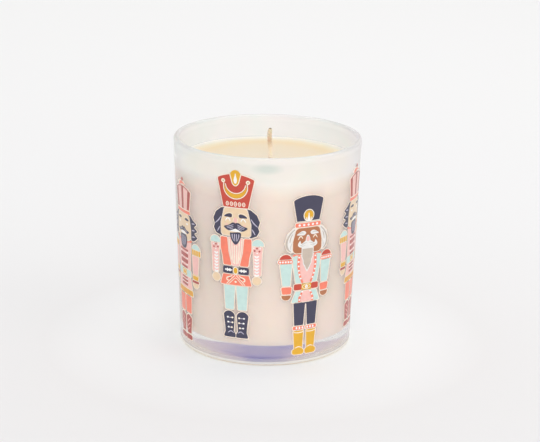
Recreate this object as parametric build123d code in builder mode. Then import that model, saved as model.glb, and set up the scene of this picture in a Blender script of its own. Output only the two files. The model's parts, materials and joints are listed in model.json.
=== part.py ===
from build123d import *
import os
from math import cos, radians, sin

# A poured candle in a heavy-based tapered tumbler, printed all round with toy soldiers.
# Millimetres, +Z up, the front towards -Y, the origin on the standing plane under the axis.

os.makedirs("parts", exist_ok=True)

# Tumbler
height = 97.5
rim_radius = 43.0
base_radius = 39.8
wall = 2.6
base_thickness = 8.7
corner_radius = 4.0
heel_radius = 2.1
foot_ring_width = 3.6
foot_hollow = 1.1

# Wax, wick and what holds the wick
wax_level = 86.2
wax_climb = 0.7
wax_climb_width = 1.6
wick_diameter = 2.2
pad_diameter = 18.0
pad_thickness = 1.0
disc_diameter = 20.0
disc_thickness = 0.4
neck_diameter = 4.0
neck_length = 6.0
neck_root_radius = 0.6

# Prints: eight soldiers, one eighth of a turn apart, every second one lifted
ink = 0.05
keyline = 0.38
figure_count = 8
first_angle = -63.9
lift = 6.2
print_low = 3.5
print_high = 94.5
plate_stand_off = 1.2
plate_depth = 9.0


def wall_radius(z):
    """Outer radius of the tumbler at height z."""
    return base_radius + (rim_radius - base_radius) * z / height


inner_rim_radius = rim_radius - wall
inner_base_radius = wall_radius(base_thickness) - wall


def inner_radius(z):
    """Inner radius of the tumbler at height z, above the rounded corner."""
    share = (z - base_thickness) / (height - base_thickness)
    return inner_base_radius + (inner_rim_radius - inner_base_radius) * share


# ---------------------------------------------------------------- glass

with BuildPart() as glass_tumbler:
    lip = wall / 2
    ring_inside = base_radius - heel_radius - foot_ring_width
    with BuildSketch(Plane.XZ) as section:
        with BuildLine():
            Polyline(
                (0, foot_hollow),
                (ring_inside - foot_ring_width, foot_hollow),
                (ring_inside, 0),
                (base_radius, 0),
                (wall_radius(height - lip), height - lip),
            )
            ThreePointArc(
                (wall_radius(height - lip), height - lip),
                (wall_radius(height - lip) - lip, height),
                (inner_radius(height - lip), height - lip),
            )
            Polyline(
                (inner_radius(height - lip), height - lip),
                (inner_base_radius, base_thickness),
                (0, base_thickness),
                (0, foot_hollow),
            )
        make_face()
        corners = section.vertices()
        fillet(corners.sort_by_distance((inner_base_radius, 0, base_thickness))[0], corner_radius)
        fillet(corners.sort_by_distance((base_radius, 0, 0))[0], heel_radius)
    revolve(axis=Axis.Z)

# ---------------------------------------------------------------- what holds the wick

with BuildPart() as sustainer_glue_pad:
    with BuildSketch(Plane.XY.offset(base_thickness)):
        Circle(pad_diameter / 2)
    extrude(amount=pad_thickness)

disc_floor = base_thickness + pad_thickness
disc_top = disc_floor + disc_thickness
neck_top = disc_top + neck_length

with BuildPart() as wick_sustainer:
    with BuildSketch(Plane.XY.offset(disc_floor)):
        Circle(disc_diameter / 2)
    extrude(amount=disc_thickness)
    with BuildSketch(Plane.XY.offset(disc_top)):
        Circle(neck_diameter / 2)
    extrude(amount=neck_length)
    neck_root = wick_sustainer.edges().filter_by(GeomType.CIRCLE).group_by(Axis.Z)[1]
    fillet(neck_root.sort_by(SortBy.RADIUS)[0], neck_root_radius)
    with BuildSketch(Plane.XY.offset(disc_floor)):
        Circle(wick_diameter / 2)
    extrude(amount=disc_thickness + neck_length, mode=Mode.SUBTRACT)

# The wick stands up from the sustainer, leans to the right and bends twice above the wax.
wick_route = [
    (0, 0, disc_floor),
    (0, 0, 40),
    (1.3, 0, 83),
    (1.35, 0, 89.5),
    (0.9, 0, 95),
    (0.85, 0, 98),
    (1.15, 0, 100.7),
]
wick_bends = [90, 30, 12, 8, 5]

with BuildPart() as wick_braid:
    with BuildLine() as route:
        FilletPolyline(*wick_route, radius=wick_bends)
    with BuildSketch(Plane(origin=wick_route[0], z_dir=(0, 0, 1))):
        Circle(wick_diameter / 2)
    sweep(path=route.wires()[0])

# ---------------------------------------------------------------- wax

with BuildPart() as wax_fill:
    wax_top_radius = inner_radius(wax_level + wax_climb)
    with BuildSketch(Plane.XZ) as wax_section:
        with BuildLine():
            Polyline((0, wax_level), (0, base_thickness), (inner_base_radius, base_thickness))
            Line((inner_base_radius, base_thickness), (wax_top_radius, wax_level + wax_climb))
            ThreePointArc(
                (wax_top_radius, wax_level + wax_climb),
                (wax_top_radius - wax_climb_width / 3, wax_level + wax_climb / 4),
                (wax_top_radius - wax_climb_width, wax_level),
            )
            Line((wax_top_radius - wax_climb_width, wax_level), (0, wax_level))
        make_face()
        wax_corners = wax_section.vertices()
        fillet(wax_corners.sort_by_distance((inner_base_radius, 0, base_thickness))[0], corner_radius)
    revolve(axis=Axis.Z)
    add(wick_braid.part, mode=Mode.SUBTRACT)
    add(wick_sustainer.part, mode=Mode.SUBTRACT)
    add(sustainer_glue_pad.part, mode=Mode.SUBTRACT)

# ---------------------------------------------------------------- drawing the prints
# Each soldier is drawn flat, x to the right of its middle line and y up from its soles.


def smooth(*points, mode=Mode.ADD):
    """A face inside one closed curve through the points."""
    with BuildLine() as outline:
        Spline(*points, periodic=True)
    make_face(outline.edges(), mode=mode)


def plate(radius, *points, mode=Mode.ADD):
    """A face inside straight sides with corners rounded to the radius."""
    with BuildLine() as outline:
        FilletPolyline(*points, radius=radius, close=True)
    make_face(outline.edges(), mode=mode)


def oval(x, y, x_radius, y_radius, tilt=0):
    """An ellipse, or a disc where both radii are equal."""
    with Locations(Location((x, y), tilt)):
        if x_radius == y_radius:
            Circle(x_radius)
        else:
            Ellipse(x_radius, y_radius)


def band(x, y, width, depth, radius, tilt=0):
    """A bar about its middle, with rounded corners."""
    with Locations(Location((x, y), tilt)):
        RectangleRounded(width, depth, radius)


def dome(x, y, half_width, rise):
    """A flat-bottomed cap that rises, or hangs where the rise is negative."""
    with BuildLine() as outline:
        Line((x - half_width, y), (x + half_width, y))
        ThreePointArc((x + half_width, y), (x, y + rise), (x - half_width, y))
    make_face(outline.edges())


def domed_hat(bottom_half, bottom, top_half, shoulder, crown, radius):
    """A tall hat, wider at the top, with a bowed crown and rounded shoulders."""
    with BuildSketch(mode=Mode.PRIVATE) as hat:
        with BuildLine():
            Polyline(
                (-top_half, shoulder), (-bottom_half, bottom), (bottom_half, bottom), (top_half, shoulder)
            )
            ThreePointArc((top_half, shoulder), (0, crown), (-top_half, shoulder))
        make_face()
        fillet(hat.vertices().group_by(Axis.Y)[-1], radius)
    add(hat.sketch)


def swag(half_width, top, outer_drop, inner_drop):
    """A hanging crescent between two arcs that meet at its ends."""
    with BuildLine() as outline:
        ThreePointArc((-half_width, top), (0, top - outer_drop), (half_width, top))
        ThreePointArc((half_width, top), (0, top - inner_drop), (-half_width, top))
    make_face(outline.edges())


def both_sides():
    """Repeats what is drawn so far on the left."""
    mirror(about=Plane.YZ)


# ---------------------------------------------------------------- soldier with the red hat


def head(brow, cheek, chin, top, round_to, grow=0.0, mode=Mode.ADD):
    """A face from the chin up to the hat, or the room that the hair leaves round it."""
    cheek_height = 54
    plate(
        round_to,
        (-brow - grow, top + grow),
        (-cheek - grow, cheek_height),
        (-cheek - grow, chin - grow),
        (cheek + grow, chin - grow),
        (cheek + grow, cheek_height),
        (brow + grow, top + grow),
        mode=mode,
    )


def red_hat_inks():
    """The inks of the soldier with the red hat, each as (layer, drawing)."""
    red_hat_head = (5.1, 6.8, 48.3, 60.9, 1.5)
    with BuildSketch() as red:
        domed_hat(5.7, 61.4, 8.5, 74.3, 76.5, 0.8)
    with BuildSketch() as gold:
        with BuildSketch(mode=Mode.PRIVATE) as emblem:
            oval(0, 76.1, 2.4, 2.4)
            oval(0, 72.7, 1.2, 1.2)
            make_hull()
        add(emblem.sketch)
        swag(5.1, 71.6, 5.9, 4.1)
        oval(0, 32, 0.95, 1.45)
    with BuildSketch() as hair:
        plate(
            0.8,
            (4.4, 61.2), (7.0, 60.6), (9.6, 58.4), (10.9, 55.2), (10.1, 52.6),
            (10.7, 51.0), (9.5, 48.7), (6.6, 47.6), (5.2, 49.8),
        )
        both_sides()
        head(*red_hat_head, grow=keyline, mode=Mode.SUBTRACT)
    with BuildSketch() as navy:
        add(hair.sketch)
        with BuildSketch(mode=Mode.PRIVATE) as boot:
            plate(
                0.55,
                (0.45, 10.9), (1, 3), (0.12, 1.5), (0.12, 0), (5.9, 0), (5.0, 2.6), (5.15, 5), (5.9, 10.9),
            )
            dome(3.17, 10.4, 2.72, 2.15)
        add(boot.sketch)
        both_sides()
    with BuildSketch() as navy_top:
        smooth((1.8, 58.2), (3.4, 58.3), (5.4, 56.9), (3.2, 56.7), (1.8, 56.9))
        smooth(
            (-0.6, 53.5), (1.5, 54.3), (3.4, 53.0), (5.5, 52.1),
            (4.2, 50.9), (2.4, 50.6), (0.9, 51.3), (-0.6, 52.0),
        )
        both_sides()
        smooth(
            (-2.5, 49.6), (0, 49.9), (2.5, 49.6), (2.5, 48.2),
            (1.6, 45.7), (0, 44.2), (-1.6, 45.7), (-2.5, 48.2),
        )
        band(3.75, 32.05, 4.6, 3.3, 0.8)
        band(-3.75, 32.05, 4.6, 3.3, 0.8)
    with BuildSketch() as skin:
        head(*red_hat_head)
        oval(9.5, 27.8, 1.85, 1.9)
        oval(-9.5, 27.8, 1.85, 1.9)
    with BuildSketch() as coral:
        plate(0.6, (4.0, 47.2), (7.2, 47.2), (7.2, 42), (6.3, 38.5), (5.8, 34.3), (1.9, 34.3), (3.4, 40.5))
        both_sides()
        plate(0.5, (-6.0, 29.9), (6.0, 29.9), (7.3, 25.1), (-7.3, 25.1))
    with BuildSketch() as pink:
        plate(0.5, (7.75, 43.7), (12.1, 43.7), (11.7, 40.5), (11.2, 30.2), (8.4, 30.2), (8.1, 40.5))
        both_sides()
        plate(0.4, (-3.5, 47.2), (3.5, 47.2), (3.0, 40.5), (1.5, 34.3), (-1.5, 34.3), (-3.0, 40.5))
    with BuildSketch() as pink_top:
        smooth((0, 56.8), (0.8, 55.2), (0.5, 54.4), (-0.5, 54.4), (-0.8, 55.2))
        oval(4.2, 53.3, 0.5, 0.4)
        oval(-4.2, 53.3, 0.5, 0.4)
    with BuildSketch() as mint:
        plate(0.4, (0.3, 24.7), (5.6, 24.7), (4.95, 13.4), (1.0, 13.4))
        dome(10.0, 44.2, 2.45, 2.95)
        both_sides()
    with BuildSketch() as dark_red:
        for x, y in ((9.65, 43.15), (8.65, 42.0), (10.7, 41.8)):
            oval(x, y, 0.42, 0.42)
        both_sides()
    return {
        "red": [(1, red)],
        "gold": [(2, gold)],
        "navy": [(1, navy), (2, navy_top)],
        "skin": [(1, skin)],
        "coral": [(1, coral)],
        "pink": [(1, pink), (2, pink_top)],
        "mint": [(1, mint)],
        "dark_red": [(2, dark_red)],
    }


# ---------------------------------------------------------------- soldier with the navy hat


def navy_hat_inks():
    """The inks of the soldier with the navy hat, each as (layer, drawing)."""
    navy_hat_head = (5.6, 7.0, 48.5, 60.1, 2.0)
    with BuildSketch() as navy:
        domed_hat(5.5, 63.3, 7.3, 73.0, 74.9, 1.0)
        with BuildSketch(mode=Mode.PRIVATE) as trousers:
            plate(0.3, (-5.9, 24.9), (-5.2, 14.1), (-0.95, 14.1), (-0.3, 24.3), (0.3, 24.3),
                  (0.95, 14.1), (5.2, 14.1), (5.9, 24.9))
        add(trousers.sketch)
    with BuildSketch() as gold:
        with BuildSketch(mode=Mode.PRIVATE) as boot:
            plate(0.5, (0.7, 11.5), (5.5, 11.5), (4.75, 1.5), (1.15, 1.5))
            band(3.05, 1.35, 5.5, 2.6, 1.1)
        add(boot.sketch)
        both_sides()
    with BuildSketch() as gold_top:
        oval(0, 66, 2.15, 2.1)
        band(0, 32.5, 4.7, 2.9, 0.3)
    with BuildSketch() as coral:
        band(0, 61.5, 12.4, 1.8, 0.6)
        band(10.1, 44.8, 6.3, 1.7, 0.7)
        plate(0.6, (6.95, 32.8), (11.7, 32.8), (11.1, 29.5), (7.3, 29.5))
        band(3.1, 12.85, 5.4, 1.6, 0.5)
        both_sides()
    with BuildSketch() as coral_top:
        smooth((3.4, 48.1), (5.0, 48.0), (6.9, 47.7), (6.9, 47.3), (5.0, 47.6), (3.4, 47.6))
        plate(
            0.4,
            (3.4, 47.2), (4.7, 47.2), (4.8, 42.5), (4.0, 38.2),
            (2.5, 34.3), (1.4, 34.3), (3.1, 38.4), (3.6, 42.5),
        )
        plate(0.3, (1.5, 30.4), (2.3, 30.4), (3.75, 27.5), (3.8, 25.3), (2.7, 25.3), (2.6, 27.5))
        both_sides()
    with BuildSketch() as brown:
        head(*navy_hat_head)
        dome(9.35, 28.9, 2.05, -2.25)
        dome(-9.35, 28.9, 2.05, -2.25)
    with BuildSketch() as white_hair:
        plate(
            1.0,
            (4.6, 60.3), (6.9, 60.2), (9.5, 57.6), (10.5, 53.4), (9.6, 50.2), (7.8, 48.9), (5.4, 50.4),
        )
        both_sides()
        head(*navy_hat_head, grow=keyline, mode=Mode.SUBTRACT)
    with BuildSketch() as taupe:
        plate(
            0.25,
            (-2.6, 50.4), (2.6, 50.4), (2.55, 46.8), (1.9, 45.2), (1.75, 43.6), (0.95, 42.2), (0, 40.1),
            (-0.95, 42.2), (-1.75, 43.6), (-1.9, 45.2), (-2.55, 46.8),
        )
    with BuildSketch() as white:
        smooth((1.2, 58.2), (2.6, 58.8), (4.2, 58.1), (5.4, 57.1), (3.7, 56.8), (1.6, 57.0))
        smooth(
            (-0.6, 54.0), (1.8, 53.7), (3.3, 53.0), (3.7, 54.2), (4.6, 53.2), (4.7, 52.0), (3.6, 51.2),
            (2.4, 51.0), (0.8, 50.6), (-0.6, 50.5),
        )
        both_sides()
        plate(
            0.3,
            (-3.0, 51.2), (3.0, 51.2), (2.95, 46.6), (2.3, 44.9), (2.15, 43.3), (1.35, 41.9), (0, 39.2),
            (-1.35, 41.9), (-2.15, 43.3), (-2.3, 44.9), (-2.95, 46.6),
        )
        smooth((0, 56.8), (1.15, 54.6), (0.9, 53.2), (-0.9, 53.2), (-1.15, 54.6))
    with BuildSketch() as mint:
        plate(
            0.3,
            (4.1, 47.3), (6.8, 47.3), (6.6, 43), (5.9, 38.5),
            (5.2, 34.4), (2.0, 34.4), (3.6, 38.3), (4.2, 42.5),
        )
        plate(0.5, (7.2, 43.7), (12.5, 43.7), (11.1, 33.4), (7.7, 33.4))
        plate(0.3, (1.9, 30.4), (5.1, 30.4), (6.9, 25.3), (3.3, 25.3), (3.15, 27.5))
        both_sides()
    with BuildSketch() as pink:
        plate(
            0.3,
            (-4.0, 47.3), (4.0, 47.3), (4.1, 42.5), (3.5, 38.3), (1.9, 34.4),
            (-1.9, 34.4), (-3.5, 38.3), (-4.1, 42.5),
        )
        plate(0.3, (-1.8, 30.4), (1.8, 30.4), (3.05, 27.5), (3.2, 25.3), (-3.2, 25.3), (-3.05, 27.5))
    with BuildSketch() as nose:
        smooth((0, 56.2), (0.75, 54.7), (0.5, 54.0), (-0.5, 54.0), (-0.75, 54.7))
    with BuildSketch() as red:
        band(4.2, 32.5, 3.6, 2.8, 0.6)
        dome(10.1, 46.0, 2.7, 2.2)
        both_sides()
    return {
        "navy": [(1, navy)],
        "gold": [(1, gold), (2, gold_top)],
        "coral": [(1, coral), (2, coral_top)],
        "brown": [(1, brown)],
        "taupe": [(3, taupe)],
        "white": [(1, white_hair), (2, white)],
        "mint": [(1, mint)],
        "pink": [(1, pink), (3, nose)],
        "red": [(1, red)],
    }


# ---------------------------------------------------------------- soldier with the striped hat


def striped_hat_inks():
    """The inks of the soldier with the striped hat, each as (layer, drawing)."""
    striped_hat_head = (5.7, 6.85, 48.6, 60.1, 2.2)
    with BuildSketch() as pink:
        domed_hat(6.1, 62.4, 7.5, 71.3, 73.2, 0.8)
        with BuildSketch(mode=Mode.PRIVATE) as coat:
            plate(0.6, (-6.6, 47.8), (6.6, 47.8), (5.6, 34.2), (-5.6, 34.2))
            plate(0.6, (-5.6, 30.3), (5.6, 30.3), (6.7, 24.9), (-6.7, 24.9))
            plate(0.5, (7.5, 42), (12.1, 42), (11.2, 33.3), (8.0, 33.3))
            plate(0.5, (-7.5, 42), (-12.1, 42), (-11.2, 33.3), (-8.0, 33.3))
        add(coat.sketch)
    with BuildSketch() as dark_red:
        with BuildSketch(mode=Mode.PRIVATE) as stripe:
            plate(0.2, (-0.95, 62.5), (0.95, 62.5), (1.1, 72.6), (-1.1, 72.6))
        add(stripe.sketch)
        plate(0.3, (4.0, 62.6), (5.9, 62.6), (7.25, 71.1), (5.2, 71.8))
        plate(0.3, (-4.0, 62.6), (-5.9, 62.6), (-7.25, 71.1), (-5.2, 71.8))
        for middle, width, depth in (
            (43.0, 8.0, 0.9), (40.5, 7.7, 1.8), (37.6, 7.3, 1.9), (34.9, 6.2, 1.1),
            (29.7, 5.4, 0.7), (28.2, 6.0, 1.0), (26.5, 5.9, 1.1),
        ):
            band(0, middle, width, depth, depth / 3)
        oval(0, 76.1, 0.95, 0.85)
    with BuildSketch() as dark_red_low:
        with BuildSketch(mode=Mode.PRIVATE) as boot:
            plate(0.6, (0.35, 10.9), (1.0, 3.1), (4.6, 3.1), (5.5, 10.9))
            dome(2.93, 10.6, 2.55, 1.7)
            band(2.75, 1.15, 5.2, 2.3, 0.9)
        add(boot.sketch)
        band(9.5, 29.7, 4.6, 1.1, 0.4)
        both_sides()
    with BuildSketch() as skin:
        head(*striped_hat_head)
        dome(9.5, 28.9, 2.0, -2.2)
        dome(-9.5, 28.9, 2.0, -2.2)
    with BuildSketch() as navy:
        plate(
            0.35,
            (5.0, 60.4), (7.2, 60.2), (8.6, 58.9), (11.4, 57.3), (9.4, 55.7), (11.9, 54.1), (9.4, 52.7),
            (11.8, 51.0), (9.7, 49.3), (8.2, 48.7), (5.4, 50.6),
        )
        both_sides()
        head(*striped_hat_head, grow=keyline, mode=Mode.SUBTRACT)
    with BuildSketch() as navy_top:
        smooth((1.9, 57.9), (3.4, 58.4), (5.5, 57.7), (3.6, 57.3))
        smooth(
            (-0.6, 52.9), (1.6, 53.7), (3.0, 52.7), (5.3, 52.2),
            (4.6, 51.4), (3.0, 51.4), (1.4, 51.9), (-0.6, 52.1),
        )
        both_sides()
        smooth(
            (-2.9, 50.1), (0, 50.4), (2.9, 50.1), (3.2, 46.6),
            (2.0, 44.2), (0, 43.7), (-2.0, 44.2), (-3.2, 46.6),
        )
    with BuildSketch() as coral:
        band(0, 61.3, 13.0, 1.5, 0.6)
        plate(0.4, (0.4, 21.3), (5.7, 21.3), (5.3, 13.1), (0.7, 13.1))
        both_sides()
        smooth((-3.4, 73.6), (0, 74.9), (3.4, 73.6), (0, 74.0))
    with BuildSketch() as coral_top:
        smooth((3.6, 47.9), (5.4, 48.1), (7.4, 48.5), (7.4, 48.0), (5.4, 47.6), (3.6, 47.4))
        both_sides()
    with BuildSketch() as mint:
        band(0, 32.3, 12.0, 3.1, 0.7)
        dome(10.3, 45.3, 2.8, 2.4)
        dome(-10.3, 45.3, 2.8, 2.4)
    with BuildSketch() as gold:
        plate(0.4, (-6.9, 24.4), (6.9, 24.4), (7.3, 21.9), (-7.3, 21.9))
        for x in (8.1, 9.6, 11.1, 12.6):
            band(x, 43.7, 1.1, 2.6, 0.4)
        plate(0.4, (7.4, 33.0), (11.6, 33.0), (11.3, 30.7), (7.8, 30.7))
        both_sides()
    with BuildSketch() as buckle:
        band(0, 32.3, 4.4, 2.7, 0.5)
    return {
        "pink": [(1, pink)],
        "dark_red": [(1, dark_red_low), (2, dark_red)],
        "skin": [(1, skin)],
        "navy": [(1, navy), (2, navy_top)],
        "coral": [(1, coral), (2, coral_top)],
        "mint": [(1, mint)],
        "gold": [(1, gold), (2, buckle)],
    }


# ---------------------------------------------------------------- laying the prints on the glass


def ink_shell(layer):
    """A thin cone on the outside of the tumbler, one ink layer thick."""
    with BuildPart() as shell:
        with BuildSketch(Plane.XZ):
            with BuildLine():
                inside = layer * ink
                outside = inside + ink
                Polyline(
                    (wall_radius(print_low) + inside, print_low),
                    (wall_radius(print_low) + outside, print_low),
                    (wall_radius(print_high) + outside, print_high),
                    (wall_radius(print_high) + inside, print_high),
                    close=True,
                )
            make_face()
        revolve(axis=Axis.Z)
    return shell.part


shells = [ink_shell(layer) for layer in range(4)]


def figure_plane(place, soles):
    """The flat sheet in front of one place, its origin at the soles and its x to the right."""
    angle = radians(first_angle + place * 360 / figure_count)
    outward = Vector(sin(angle), -cos(angle), 0)
    foot = outward * (rim_radius + plate_stand_off) + Vector(0, 0, soles)
    return Plane(origin=foot, x_dir=(cos(angle), sin(angle), 0), z_dir=outward)


def ink_film(drawing, layer, soles, place):
    """One drawing laid on the glass at one place, in one layer."""
    with BuildPart() as film:
        with BuildSketch(figure_plane(place, soles + lift * (place % 2))):
            add(drawing.sketch)
        extrude(amount=-plate_depth)
        add(shells[layer], mode=Mode.INTERSECT)
    return film.part


def print_ink(name, layers, soles, places):
    """Prints one ink of one design at its places, and writes it as one node."""
    films = [ink_film(drawing, layer, soles, place) for layer, drawing in layers for place in places]
    with BuildPart() as printed:
        add(films)
    printed.part.label = name
    export_step(printed.part, f"parts/{name}.step")
    return printed.part


def grow(region):
    """Adds a region grown by the keyline; a whole oval grows into a larger oval."""
    if len(region.edges()) > 1:
        offset(region, amount=keyline, mode=Mode.ADD)
    else:
        size = region.bounding_box().size
        with Locations((region.center().X, region.center().Y)):
            Ellipse(size.X / 2 + keyline, size.Y / 2 + keyline)


def underprint(inks):
    """The cream layer under a design, which shows as a thin line round each colour."""
    with BuildSketch() as cream:
        for layers in inks.values():
            for layer, drawing in layers:
                if layer == 1:
                    for region in drawing.faces():
                        grow(region)
    return cream


# Places are counted round the tumbler to the right, and the odd ones are the lifted ones.
designs = {
    "striped_hat_soldier": (striped_hat_inks(), 5.3, (0, 3)),
    "red_hat_soldier": (red_hat_inks(), 7.0, (1, 4, 6)),
    "navy_hat_soldier": (navy_hat_inks(), 5.1, (2, 5, 7)),
}

for design, (inks, soles, places) in designs.items():
    print_ink(f"{design}_cream_ink", [(0, underprint(inks))], soles, places)
    for colour, layers in inks.items():
        print_ink(f"{design}_{colour}_ink", layers, soles, places)

# ---------------------------------------------------------------- the pieces of the candle itself

for name, piece in {
    "glass_tumbler": glass_tumbler,
    "wax_fill": wax_fill,
    "wick_braid": wick_braid,
    "wick_sustainer": wick_sustainer,
    "sustainer_glue_pad": sustainer_glue_pad,
}.items():
    piece.part.label = name
    export_step(piece.part, f"parts/{name}.step")
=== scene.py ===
import json
import math

import bmesh
import bpy
from mathutils import Matrix, Vector


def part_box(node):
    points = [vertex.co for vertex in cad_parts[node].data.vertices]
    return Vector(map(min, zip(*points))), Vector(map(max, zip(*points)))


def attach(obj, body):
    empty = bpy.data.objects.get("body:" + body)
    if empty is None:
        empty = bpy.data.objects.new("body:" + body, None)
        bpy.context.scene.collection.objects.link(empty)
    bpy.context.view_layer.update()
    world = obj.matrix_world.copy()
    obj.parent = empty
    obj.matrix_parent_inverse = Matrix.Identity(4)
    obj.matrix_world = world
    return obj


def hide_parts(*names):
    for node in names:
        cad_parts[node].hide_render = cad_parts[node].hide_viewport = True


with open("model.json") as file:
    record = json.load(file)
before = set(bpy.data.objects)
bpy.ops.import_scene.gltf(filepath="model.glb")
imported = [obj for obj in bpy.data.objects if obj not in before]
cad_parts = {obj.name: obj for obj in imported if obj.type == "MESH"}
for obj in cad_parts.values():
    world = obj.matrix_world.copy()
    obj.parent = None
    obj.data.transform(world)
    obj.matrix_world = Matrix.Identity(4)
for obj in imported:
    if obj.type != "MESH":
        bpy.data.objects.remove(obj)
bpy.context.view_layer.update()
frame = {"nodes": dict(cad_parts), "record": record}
MM = 0.001

# ---------------------------------------------------------------- places, all from the frame

glass_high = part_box("glass_tumbler")[1]
wax_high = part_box("wax_fill")[1]
pad_low, pad_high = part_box("sustainer_glue_pad")
wick_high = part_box("wick_braid")[1]

height = glass_high.z
wax_edge_radius = wax_high.x
wax_edge_level = wax_high.z
floor_level = pad_low.z

# What the boxes can't say, as the CAD model has it.
wall = 2.6 * MM
base_radius = 39.8 * MM
corner_radius = 4.0 * MM
heel_radius = 2.1 * MM
foot_ring_width = 3.6 * MM
foot_hollow = 1.1 * MM
wax_climb = 0.7 * MM
wax_climb_width = 1.6 * MM
wax_level = wax_edge_level - wax_climb
lip = wall / 2
rim_radius = base_radius + (glass_high.x - base_radius) * height / (height - lip)


def wall_radius(z):
    """Outer radius of the tumbler at height z."""
    return base_radius + (rim_radius - base_radius) * z / height


inner_base_radius = wall_radius(floor_level) - wall


def inner_radius(z):
    """Inner radius of the tumbler at height z, above its rounded corner."""
    share = (z - floor_level) / (height - floor_level)
    return inner_base_radius + (rim_radius - wall - inner_base_radius) * share


# ---------------------------------------------------------------- node helpers


class Surface:
    """A material with one Principled shader, and short ways to add nodes to it."""

    def __init__(self, name):
        self.material = bpy.data.materials.new(name)
        self.material.use_nodes = True
        self.tree = self.material.node_tree
        self.shader = self.tree.nodes["Principled BSDF"]
        self.output = self.tree.nodes["Material Output"]

    def set(self, **values):
        """Sets sockets of the Principled shader, with underscores for spaces."""
        for key, value in values.items():
            self.shader.inputs[key.replace("_", " ")].default_value = value

    def node(self, kind, **settings):
        """A new node; each setting is the value of its input of that name, or else a property."""
        made = self.tree.nodes.new(kind)
        for key, value in settings.items():
            if key in made.inputs:
                made.inputs[key].default_value = value
            else:
                setattr(made, key, value)
        return made

    def link(self, source, target):
        self.tree.links.new(source, target)

    def place(self):
        """Coordinates in metres in the row frame."""
        return self.node("ShaderNodeTexCoord").outputs["Object"]

    def axis(self, letter):
        """One coordinate of a point: X, Y or Z, in metres."""
        parts = self.node("ShaderNodeSeparateXYZ")
        self.link(self.place(), parts.inputs[0])
        return parts.outputs[letter]

    def radius(self):
        """How far a point is from the candle's middle line, in metres."""
        flat = self.node("ShaderNodeVectorMath", operation="MULTIPLY")
        self.link(self.place(), flat.inputs[0])
        flat.inputs[1].default_value = (1, 1, 0)
        away = self.node("ShaderNodeVectorMath", operation="LENGTH")
        self.link(flat.outputs["Vector"], away.inputs[0])
        return away.outputs["Value"]

    def share(self, source, low, high):
        """How far a value is from low to high, as 0 to 1."""
        share = self.node("ShaderNodeMapRange")
        share.inputs["From Min"].default_value = low
        share.inputs["From Max"].default_value = high
        self.link(source, share.inputs["Value"])
        return share.outputs["Result"]

    def rise(self, low, high):
        """How far a point is up from one height to another, as 0 to 1."""
        return self.share(self.axis("Z"), low, high)

    def maths(self, operation, *sources):
        """The result of an operation on one or two values."""
        maths = self.node("ShaderNodeMath", operation=operation)
        for source, socket in zip(sources, maths.inputs):
            self.link(source, socket)
        return maths.outputs[0]

    def noise(self, scale, detail=4.0, stretch=None):
        """Noise whose size is set in waves per metre."""
        texture = self.node("ShaderNodeTexNoise")
        texture.inputs["Scale"].default_value = scale
        texture.inputs["Detail"].default_value = detail
        where = self.place()
        if stretch:
            mapping = self.node("ShaderNodeMapping")
            mapping.inputs["Scale"].default_value = stretch
            self.link(where, mapping.inputs["Vector"])
            where = mapping.outputs["Vector"]
        self.link(where, texture.inputs["Vector"])
        return texture.outputs["Fac"]

    def ramp(self, source, *stops):
        """A colour or grey ramp; each stop is (place, value)."""
        ramp = self.node("ShaderNodeValToRGB")
        elements = ramp.color_ramp.elements
        while len(elements) < len(stops):
            elements.new(0.5)
        for element, (place, value) in zip(elements, stops):
            element.position = place
            element.color = colour(value) if isinstance(value, tuple) else (value, value, value, 1)
        self.link(source, ramp.inputs["Fac"])
        return ramp.outputs["Color"]

    def mix(self, factor, first, second):
        """A colour between two, each a colour tuple or a socket."""
        mix = self.node("ShaderNodeMix", data_type="RGBA")
        # of this node's sockets, 6 and 7 and the output 2 are the ones for colours
        for socket, value in ((mix.inputs[0], factor), (mix.inputs[6], first), (mix.inputs[7], second)):
            if isinstance(value, bpy.types.NodeSocket):
                self.link(value, socket)
            elif isinstance(value, tuple):
                socket.default_value = colour(value)
            else:
                socket.default_value = value
        return mix.outputs[2]

    def blend(self, factor, first, second):
        """A shader between two, by a number or a socket."""
        blend = self.node("ShaderNodeMixShader")
        if isinstance(factor, float):
            blend.inputs[0].default_value = factor
        else:
            self.link(factor, blend.inputs[0])
        self.link(first, blend.inputs[1])
        self.link(second, blend.inputs[2])
        return blend.outputs[0]

    def bump(self, height_socket, strength, distance):
        """Relief from a grey value, with its full height in metres."""
        bump = self.node("ShaderNodeBump")
        bump.inputs["Strength"].default_value = strength
        bump.inputs["Distance"].default_value = distance
        self.link(height_socket, bump.inputs["Height"])
        self.link(bump.outputs["Normal"], self.shader.inputs["Normal"])

    def base(self, socket):
        """Sets where the Principled shader gets its colour."""
        self.link(socket, self.shader.inputs["Base Color"])


def linear(byte):
    """One sRGB byte as a linear value."""
    share = byte / 255
    return share / 12.92 if share <= 0.04045 else ((share + 0.055) / 1.055) ** 2.4


def colour(rgb):
    """An sRGB colour in bytes as linear RGBA."""
    return (linear(rgb[0]), linear(rgb[1]), linear(rgb[2]), 1.0)


# ---------------------------------------------------------------- mesh helpers


def add_object(name, data):
    """An object with the given data, in the scene."""
    made = bpy.data.objects.new(name, data)
    bpy.context.scene.collection.objects.link(made)
    return made


def add_piece(name, verts, faces, material, smooth=True):
    """A closed mesh that rides on the candle's one body."""
    mesh = bpy.data.meshes.new(name)
    mesh.from_pydata(verts, [], faces)
    mesh.update()
    if smooth:
        mesh.polygons.foreach_set("use_smooth", [True] * len(mesh.polygons))
    piece = add_object(name, mesh)
    mesh.materials.append(material)
    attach(piece, "root")
    return piece


def arc(centre, radius, start, end, steps):
    """Points (r, z) on an arc, with angles in degrees from outwards, upwards positive."""
    points = []
    for step in range(steps + 1):
        angle = math.radians(start + (end - start) * step / steps)
        points.append((centre[0] + radius * math.cos(angle), centre[1] + radius * math.sin(angle)))
    return points


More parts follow.
